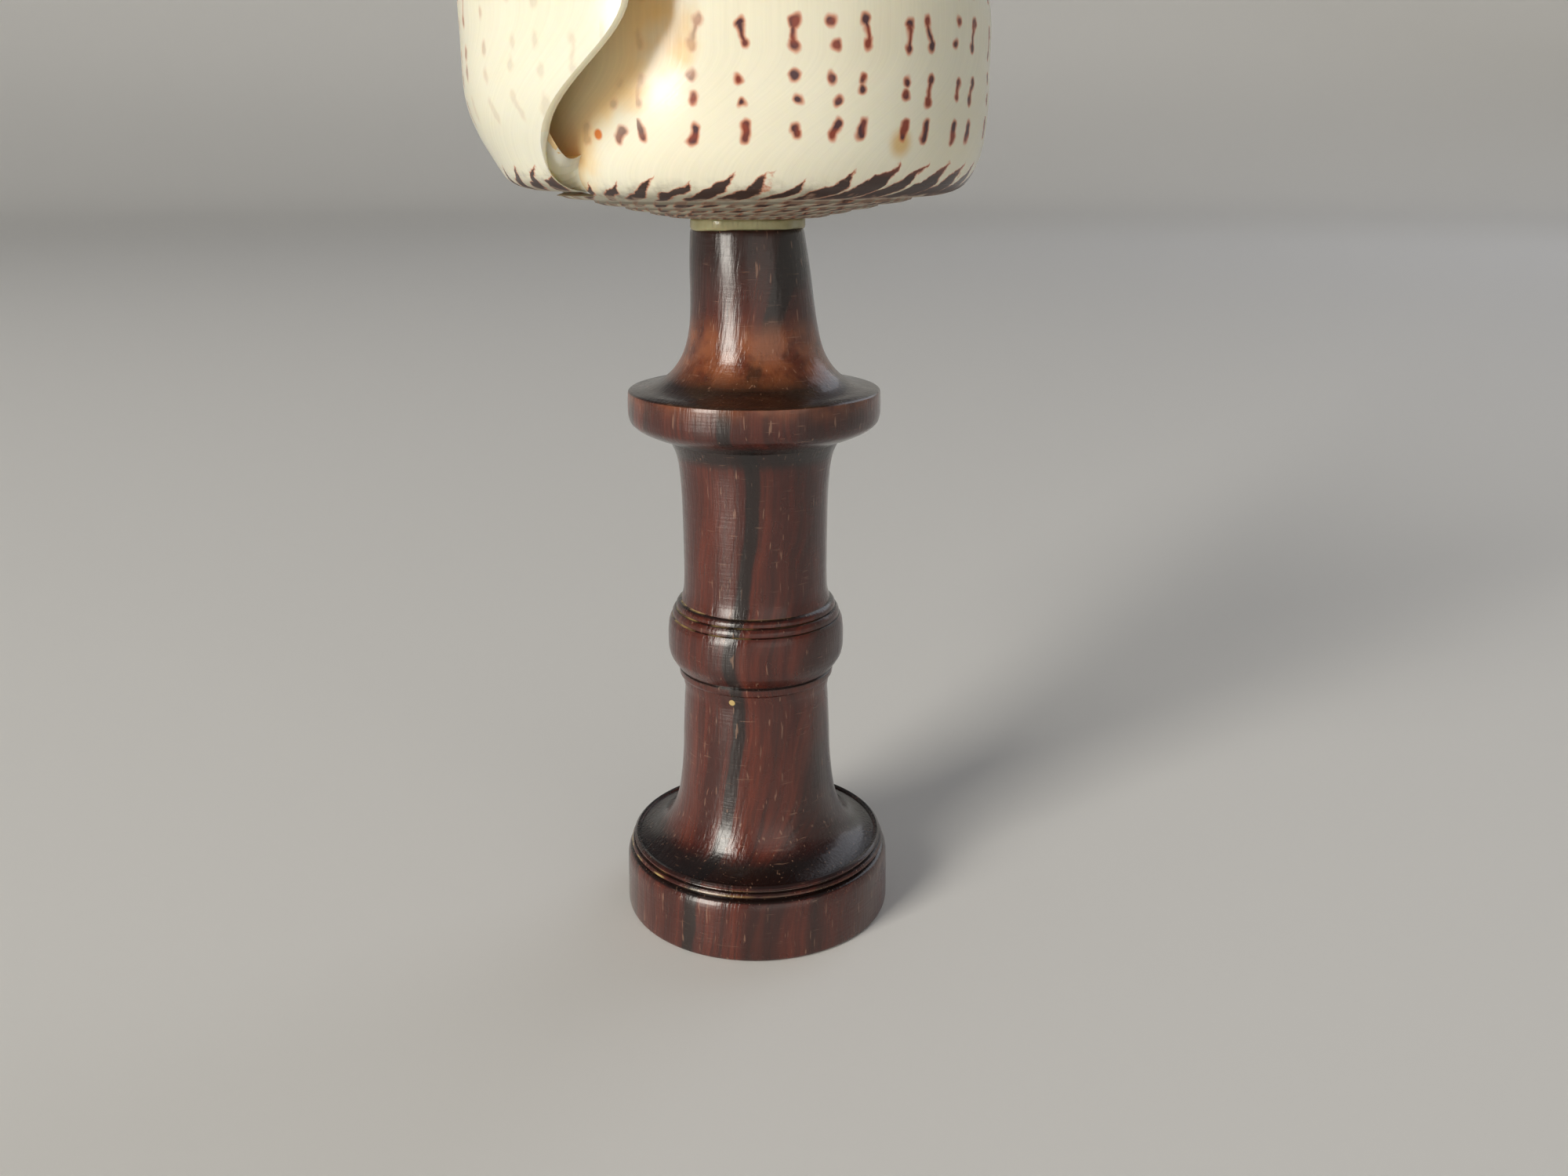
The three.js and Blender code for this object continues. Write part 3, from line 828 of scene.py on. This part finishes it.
    # Streaks sweep out over the worn spire and end as hooks on the shoulder
    sweep = add_node(tree, "MapRange", {
        "Value": arc, "From Max": 0.0108, "To Min": 2.3, "To Max": 0.0})
    swept = add_node(tree, "Math", {0: column, 1: sweep})
    streak_number = add_node(tree, "Math", {0: swept}, operation="FLOOR")
    streak_part = add_node(tree, "Math", {0: swept, 1: streak_number}, operation="SUBTRACT")
    streak_chance = add_node(tree, "TexWhiteNoise", {"W": streak_number},
                             noise_dimensions="1D")
    streak_noise = add_node(tree, "TexNoise", {
        "Vector": place, "Scale": 0.26 / MM, "Detail": 4.0, "Roughness": 0.6})
    bend = add_node(tree, "MapRange", {
        "Value": streak_noise, "From Min": 0.3, "From Max": 0.7, "To Min": 0.27,
        "To Max": 0.73})
    off_streak = add_node(tree, "Math", {
        0: add_node(tree, "Math", {0: streak_part, 1: bend}, operation="SUBTRACT")},
        operation="ABSOLUTE")
    from_streak = add_node(tree, "Math", {
        0: off_streak, 1: column_width}, operation="MULTIPLY")
    widening = add_node(tree, "MapRange", {
        "Value": arc, "From Min": 0.0006, "From Max": 0.0060, "To Min": 0.32, "To Max": 0.52})
    narrowing = add_node(tree, "MapRange", {
        "Value": arc, "From Min": 0.0072, "From Max": 0.0121, "To Min": 0.5, "To Max": -0.16})
    tapered = add_node(tree, "Math", {0: widening, 1: narrowing}, operation="MINIMUM")
    newer = add_node(tree, "MapRange", {
        "Value": turns, "From Min": 0.13, "From Max": 0.26, "To Min": -0.2, "To Max": 0.0})
    older = add_node(tree, "MapRange", {
        "Value": turns, "From Min": 0.82, "From Max": 0.96, "To Max": -0.24})
    uneven = add_node(tree, "Math", {0: newer, 1: older})
    varied = add_node(tree, "MapRange", {
        "Value": streak_chance, "To Min": -0.13, "To Max": 0.08})
    streak_width = add_node(tree, "Math", {
        0: add_node(tree, "Math", {
            0: tapered, 1: add_node(tree, "Math", {0: varied, 1: uneven})}),
        1: column_width}, operation="MULTIPLY")
    to_streak = add_node(tree, "Math", {0: from_streak, 1: streak_width},
                         operation="SUBTRACT")

    # Marks stop inside the aperture and on the newest growth by the lip
    ragged = add_node(tree, "TexNoise", {"Vector": place, "Scale": 0.12 / MM, "Detail": 3.0})
    raggedness = add_node(tree, "MapRange", {
        "Value": ragged, "From Min": 0.3, "From Max": 0.7, "To Min": -0.02, "To Max": 0.02})
    ragged_turns = add_node(tree, "Math", {0: turns, 1: raggedness})
    past_wall = add_node(tree, "MapRange", {
        "Value": ragged_turns, "From Min": -0.016, "From Max": 0.05})
    before_lip = add_node(tree, "MapRange", {
        "Value": ragged_turns, "From Min": 0.93, "From Max": 0.82, "To Min": 0.1})
    on_side = add_node(tree, "Math", {0: arc, 1: FIRST_ROW}, operation="GREATER_THAN")
    outside = add_node(tree, "Math", {0: arc, 1: -0.001}, operation="GREATER_THAN")
    marked = overlap(tree, [past_wall, before_lip, on_side])
    on_spire = add_node(tree, "Math", {0: arc, 1: 0.0125}, operation="LESS_THAN")
    rubbed = add_node(tree, "TexNoise", {"Vector": place, "Scale": 0.42 / MM, "Detail": 4.0})
    unworn = add_node(tree, "MapRange", {
        "Value": arc, "From Min": 0.0035, "From Max": 0.0070, "To Min": -0.12, "To Max": 0.2})
    whole = add_node(tree, "MapRange", {
        "Value": add_node(tree, "Math", {0: rubbed, 1: unworn}), "From Min": 0.42,
        "From Max": 0.54, "To Min": 0.3})
    streaked = overlap(tree, [on_spire, whole, outside])

    # Ground: cream with older growth deeper, tan by the aperture with painted light deep in it, grey
    # on the spire
    cloud = add_node(tree, "TexNoise", {"Vector": place, "Scale": 0.06 / MM, "Detail": 3.0})
    tan = add_node(tree, "MapRange", {
        "Value": ragged_turns, "From Min": 0.022, "From Max": -0.014}, **SOFT_STEP)
    after_wall = add_node(tree, "MapRange", {
        "Value": turns, "From Min": -0.16, "From Max": -0.05})
    tan_inside = add_node(tree, "MapRange", {
        "Value": arc, "From Min": -0.04, "From Max": -0.10, "To Max": 0.9})
    tan_share = strongest(tree, [overlap(tree, [tan, after_wall, outside]), tan_inside])
    # Painted light: paler deep in the aperture, lifting the shade beneath the lip
    deep = add_node(tree, "MapRange", {
        "Value": turns, "From Min": 0.01, "From Max": -0.035, "To Max": 0.95})
    glaze = painted_over(tree, sizes.aperture, [(deep, linear("#FFECC4"))])
    worn = add_node(tree, "MapRange", {
        "Value": arc, "From Min": 0.0088, "From Max": 0.0056}, **SOFT_STEP)
    worn_share = overlap(tree, [worn, outside])
    dirt = add_node(tree, "TexNoise", {
        "Vector": place, "Scale": 0.48 / MM, "Detail": 5.0, "Roughness": 0.65})
    dirt_share = add_node(tree, "MapRange", {
        "Value": dirt, "From Min": 0.48, "From Max": 0.66, "To Max": 0.6})
    dirt_reach = add_node(tree, "MapRange", {
        "Value": arc, "From Min": 0.0096, "From Max": 0.0068, "To Max": 0.9})
    dirty = overlap(tree, [dirt_share, dirt_reach, outside])
    seam = overlap(tree, [band_mask(tree, arc, 0.0, 0.25, 0.45, 0.7), outside])
    ochre = spot_mask(tree, place, (15.73, -21.45, 99.75), 0.5, 1.5, 0.75)
    drop = spot_mask(tree, place, (-15.3, -21.9, 100.6), 0.35, 0.35, 0.95)
    stain = add_node(tree, "MapRange", {
        "Value": height, "From Min": 0.180, "From Max": 0.1885, "To Max": 0.85}, **SOFT_STEP)
    layers = [
        (cloud, sizes.shade), (tan_share, glaze), (worn_share, sizes.spire),
        (strongest(tree, [dirty, seam]), linear("#5A4C40")), (ochre, linear("#D2A958")),
        (drop, linear("#D9761F")), (stain, sizes.tip)]

    # Paint: an orange-red fringe about 0.3 mm wide round a heart of violet and red-brown
    blend = add_node(tree, "TexNoise", {"Vector": place, "Scale": 0.52 / MM, "Detail": 1.0})
    ember = add_node(tree, "MapRange", {
        "Value": blend, "From Min": 0.44, "From Max": 0.60, "To Max": 0.85})
    heart_colour = painted_over(tree, sizes.mark, [(ember, sizes.ember)])
    to_tip = add_node(tree, "MapRange", {
        "Value": arc, "From Min": 0.0092, "From Max": 0.0112, "To Max": 0.9})
    streak_colour = painted_over(tree, sizes.streak, [(to_tip, sizes.ember)])
    for distance, cover, heart in (
            (to_streak, streaked, streak_colour), (to_mark, marked, heart_colour)):
        fringe = add_node(tree, "MapRange", {
            "Value": distance, "From Min": 0.00040, "From Max": 0.00004,
            "To Max": 0.75}, **SOFT_STEP)
        core = add_node(tree, "MapRange", {
            "Value": distance, "From Min": 0.00016, "From Max": -0.00014, "To Max": 0.96}, **SOFT_STEP)
        layers.append((overlap(tree, [fringe, cover]), sizes.fringe))
        layers.append((overlap(tree, [core, cover]), heart))
    painted = painted_over(tree, sizes.porcelain, layers)

    # Lines of growth 0.4 mm apart run across the whorl; the worn spire is coarser
    line_place = add_node(tree, "CombineXYZ", {
        0: add_node(tree, "Math", {0: turns, 1: 420.0}, operation="MULTIPLY"),
        1: add_node(tree, "Math", {0: arc, 1: 60.0}, operation="MULTIPLY")})
    lines = add_node(tree, "TexNoise", {
        "Vector": line_place, "Scale": 1.0, "Detail": 4.0, "Roughness": 0.65})
    line_shade = add_node(tree, "MapRange", {
        "Value": lines, "From Min": 0.3, "From Max": 0.7, "To Min": 0.955, "To Max": 1.02})
    lined = add_node(tree, "VectorMath", {
        0: painted, "Scale": line_shade}, operation="SCALE")
    pits = add_node(tree, "TexNoise", {"Vector": place, "Scale": 1.1 / MM, "Detail": 4.0})
    relief = add_node(tree, "Math", {0: lines, 1: overlap(tree, [pits, worn_share, 2.5])})
    bump = add_node(tree, "Bump", {"Strength": 0.4, "Distance": 0.00004, "Height": relief})
    rough = add_node(tree, "MapRange", {"Value": worn_share, "To Min": 0.2, "To Max": 0.62})
    fill_inputs(tree, surface, {
        "Base Color": lined, "Roughness": rough, "Normal": bump, "IOR": 1.55,
        "Subsurface Weight": 0.45, "Subsurface Radius": (1.0, 0.75, 0.42),
        "Subsurface Scale": 0.003})
    return material


class CONE_OT_shell(bpy.types.Operator):
    """Coil the shell from its growing outline and paint its marks"""
    bl_idname = "lettered_cone.shell"
    bl_label = "Shell"

    def execute(self, context):
        sizes = context.scene.cone_shell
        sheets = shell_sheets(Whorl(sizes))
        bpy.ops.object.select_all(action="DESELECT")
        for sheet in sheets:
            sheet.select_set(True)
        context.view_layer.objects.active = sheets[0]
        bpy.ops.object.join()
        piece = context.object
        close_up(piece)
        finish_piece(piece, "cone_shell", "shell", shell_material(sizes), angle=38)
        return {"FINISHED"}


# Stage

def floor_material(sizes):
    """Matt painted board that sweeps up into a low backdrop all round."""
    material, tree, surface = new_material("matt_painted_board")
    place = add_node(tree, "TexCoord").outputs["Object"]
    speckle = add_node(tree, "TexNoise", {"Vector": place, "Scale": 0.9 / MM})
    shade = add_node(tree, "MapRange", {
        "Value": speckle, "To Min": 0.6, "To Max": 0.7})
    fill_inputs(tree, surface, {"Base Color": sizes.floor, "Roughness": shade})
    return material


def add_light(name, place, target, width, tall, power, warmth):
    bpy.ops.object.light_add(type="AREA", location=place)
    lamp = bpy.context.object
    lamp.name = name
    lamp.data.shape = "RECTANGLE"
    lamp.data.size = width
    lamp.data.size_y = tall
    lamp.data.energy = power
    lamp.data.color = linear(warmth)[:3]
    aim = Vector(target) - Vector(place)
    lamp.rotation_euler = aim.to_track_quat("-Z", "Y").to_euler()


class CONE_OT_stage(bpy.types.Operator):
    """Add the floor, the soft lights and the camera"""
    bl_idname = "lettered_cone.stage"
    bl_label = "Stage"

    camera_place = (3.72, -163.0, 97.5)
    camera_tilt = math.radians(17.9)
    floor_sides = 96
    room_strength = 0.13
    aim = (0, 0, 0.1)
    lights = (
        ("window_light", (-1.5, -1.6, 0.86), 0.85, 1.6, 54, "#FFFAF0"),
        ("front_fill", (0.9, -2.1, 0.8), 2.4, 1.6, 8, "#FFF9F0"),
        ("back_fill", (1.4, 1.5, 1.5), 1.6, 1.6, 8, "#F2F5FF"),
    )

    def execute(self, context):
        sizes = context.scene.cone_stage
        reach = sizes.floor_radius / MM
        sweep = curve_through([(reach, 0), (reach + 400, 50), (reach + 720, 260),
                               (reach + 860, 700), (reach + 880, 1300)], 24)
        outline = np.concatenate([[(0, 0), (reach / 2, 0)], sweep])
        floor = turned(outline, self.floor_sides)
        bpy.ops.object.mode_set(mode="EDIT")
        bpy.ops.mesh.select_all(action="SELECT")
        bpy.ops.mesh.remove_doubles(threshold=0.01 * MM)
        bpy.ops.mesh.normals_make_consistent(inside=True)
        bpy.ops.object.mode_set(mode="OBJECT")
        bpy.ops.object.shade_smooth()
        floor.name = "floor"
        floor.data.materials.append(floor_material(sizes))

        camera_data = bpy.data.cameras.new("camera")
        camera_data.sensor_width = 36
        camera_data.lens = FOCAL_PIXELS / PHOTO_WIDTH * camera_data.sensor_width
        camera_data.clip_start = 0.01
        camera = bpy.data.objects.new("camera", camera_data)
        camera.location = Vector(self.camera_place) * MM
        camera.rotation_euler = (math.pi / 2 - self.camera_tilt, 0, 0)
        context.scene.collection.objects.link(camera)
        context.scene.camera = camera

        for name, place, width, tall, power, warmth in self.lights:
            add_light(name, place, self.aim, width, tall, power, warmth)
        world = bpy.data.worlds.new("soft_room")
        world.use_nodes = True
        room = world.node_tree.nodes["Background"].inputs
        room["Color"].default_value = linear("#E4E6EA")
        room["Strength"].default_value = self.room_strength
        context.scene.world = world
        context.scene.view_settings.view_transform = "Standard"
        return {"FINISHED"}


class CONE_PT_panel(bpy.types.Panel):
    bl_label = "Lettered cone"
    bl_idname = "CONE_PT_panel"
    bl_space_type = "VIEW_3D"
    bl_region_type = "UI"
    bl_category = "Lettered cone"

    def draw(self, context):
        for each in OPERATORS:
            self.layout.operator(each.bl_idname)


SETTINGS = {
    "cone_pedestal": PedestalSettings,
    "cone_glue": GlueSettings,
    "cone_shell": ShellSettings,
    "cone_stage": StageSettings,
}
OPERATORS = (CONE_OT_pedestal, CONE_OT_glue, CONE_OT_shell, CONE_OT_stage)
CLASSES = (*SETTINGS.values(), *OPERATORS, CONE_PT_panel)


def register():
    for each in CLASSES:
        bpy.utils.register_class(each)
    for name, settings in SETTINGS.items():
        setattr(bpy.types.Scene, name, bpy.props.PointerProperty(type=settings))


def unregister():
    for name in SETTINGS:
        delattr(bpy.types.Scene, name)
    for each in reversed(CLASSES):
        bpy.utils.unregister_class(each)


def main():
    register()
    bpy.ops.lettered_cone.pedestal()
    bpy.ops.lettered_cone.glue()
    bpy.ops.lettered_cone.shell()
    bpy.ops.lettered_cone.stage()
    bpy.context.view_layer.update()


if __name__ == "__main__":
    main()
